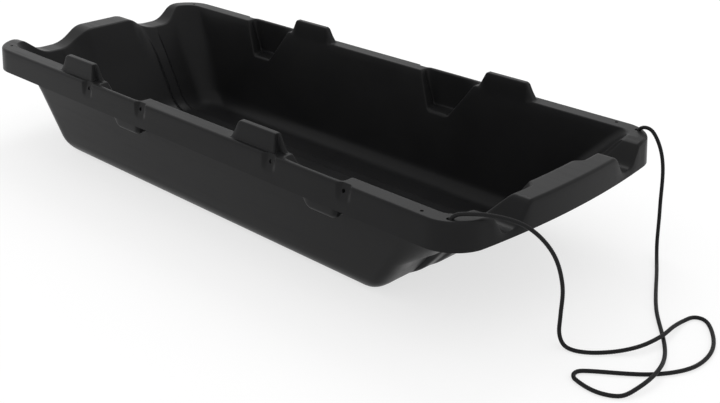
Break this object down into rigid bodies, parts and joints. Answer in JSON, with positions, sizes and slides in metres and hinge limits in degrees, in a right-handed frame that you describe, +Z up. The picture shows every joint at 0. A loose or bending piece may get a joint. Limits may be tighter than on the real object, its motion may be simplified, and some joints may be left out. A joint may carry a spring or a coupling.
{
  "type": "utility sled",
  "caption": "One-piece moulded polyethylene utility sled with interlocking rim lugs and pockets, two runners and a knotted tow rope.",
  "frame": {"origin": "on the ground, under the middle of the tub's length and width, without the rope", "axes": "+X towards the bow, where the tow rope is tied; +Z up; the side shown nearer in the picture is -Y"},
  "size_m": [1.8037, 0.626, 0.284],
  "materials": {
    "black_polyethylene": "satin, lightly textured",
    "dark_braided_rope": "braided, matt"
  },
  "bodies": {
    "root": {"hull": "black_polyethylene", "tow_rope": "dark_braided_rope", "knot_near": "dark_braided_rope", "knot_far": "dark_braided_rope"}
  },
  "joints": []
}
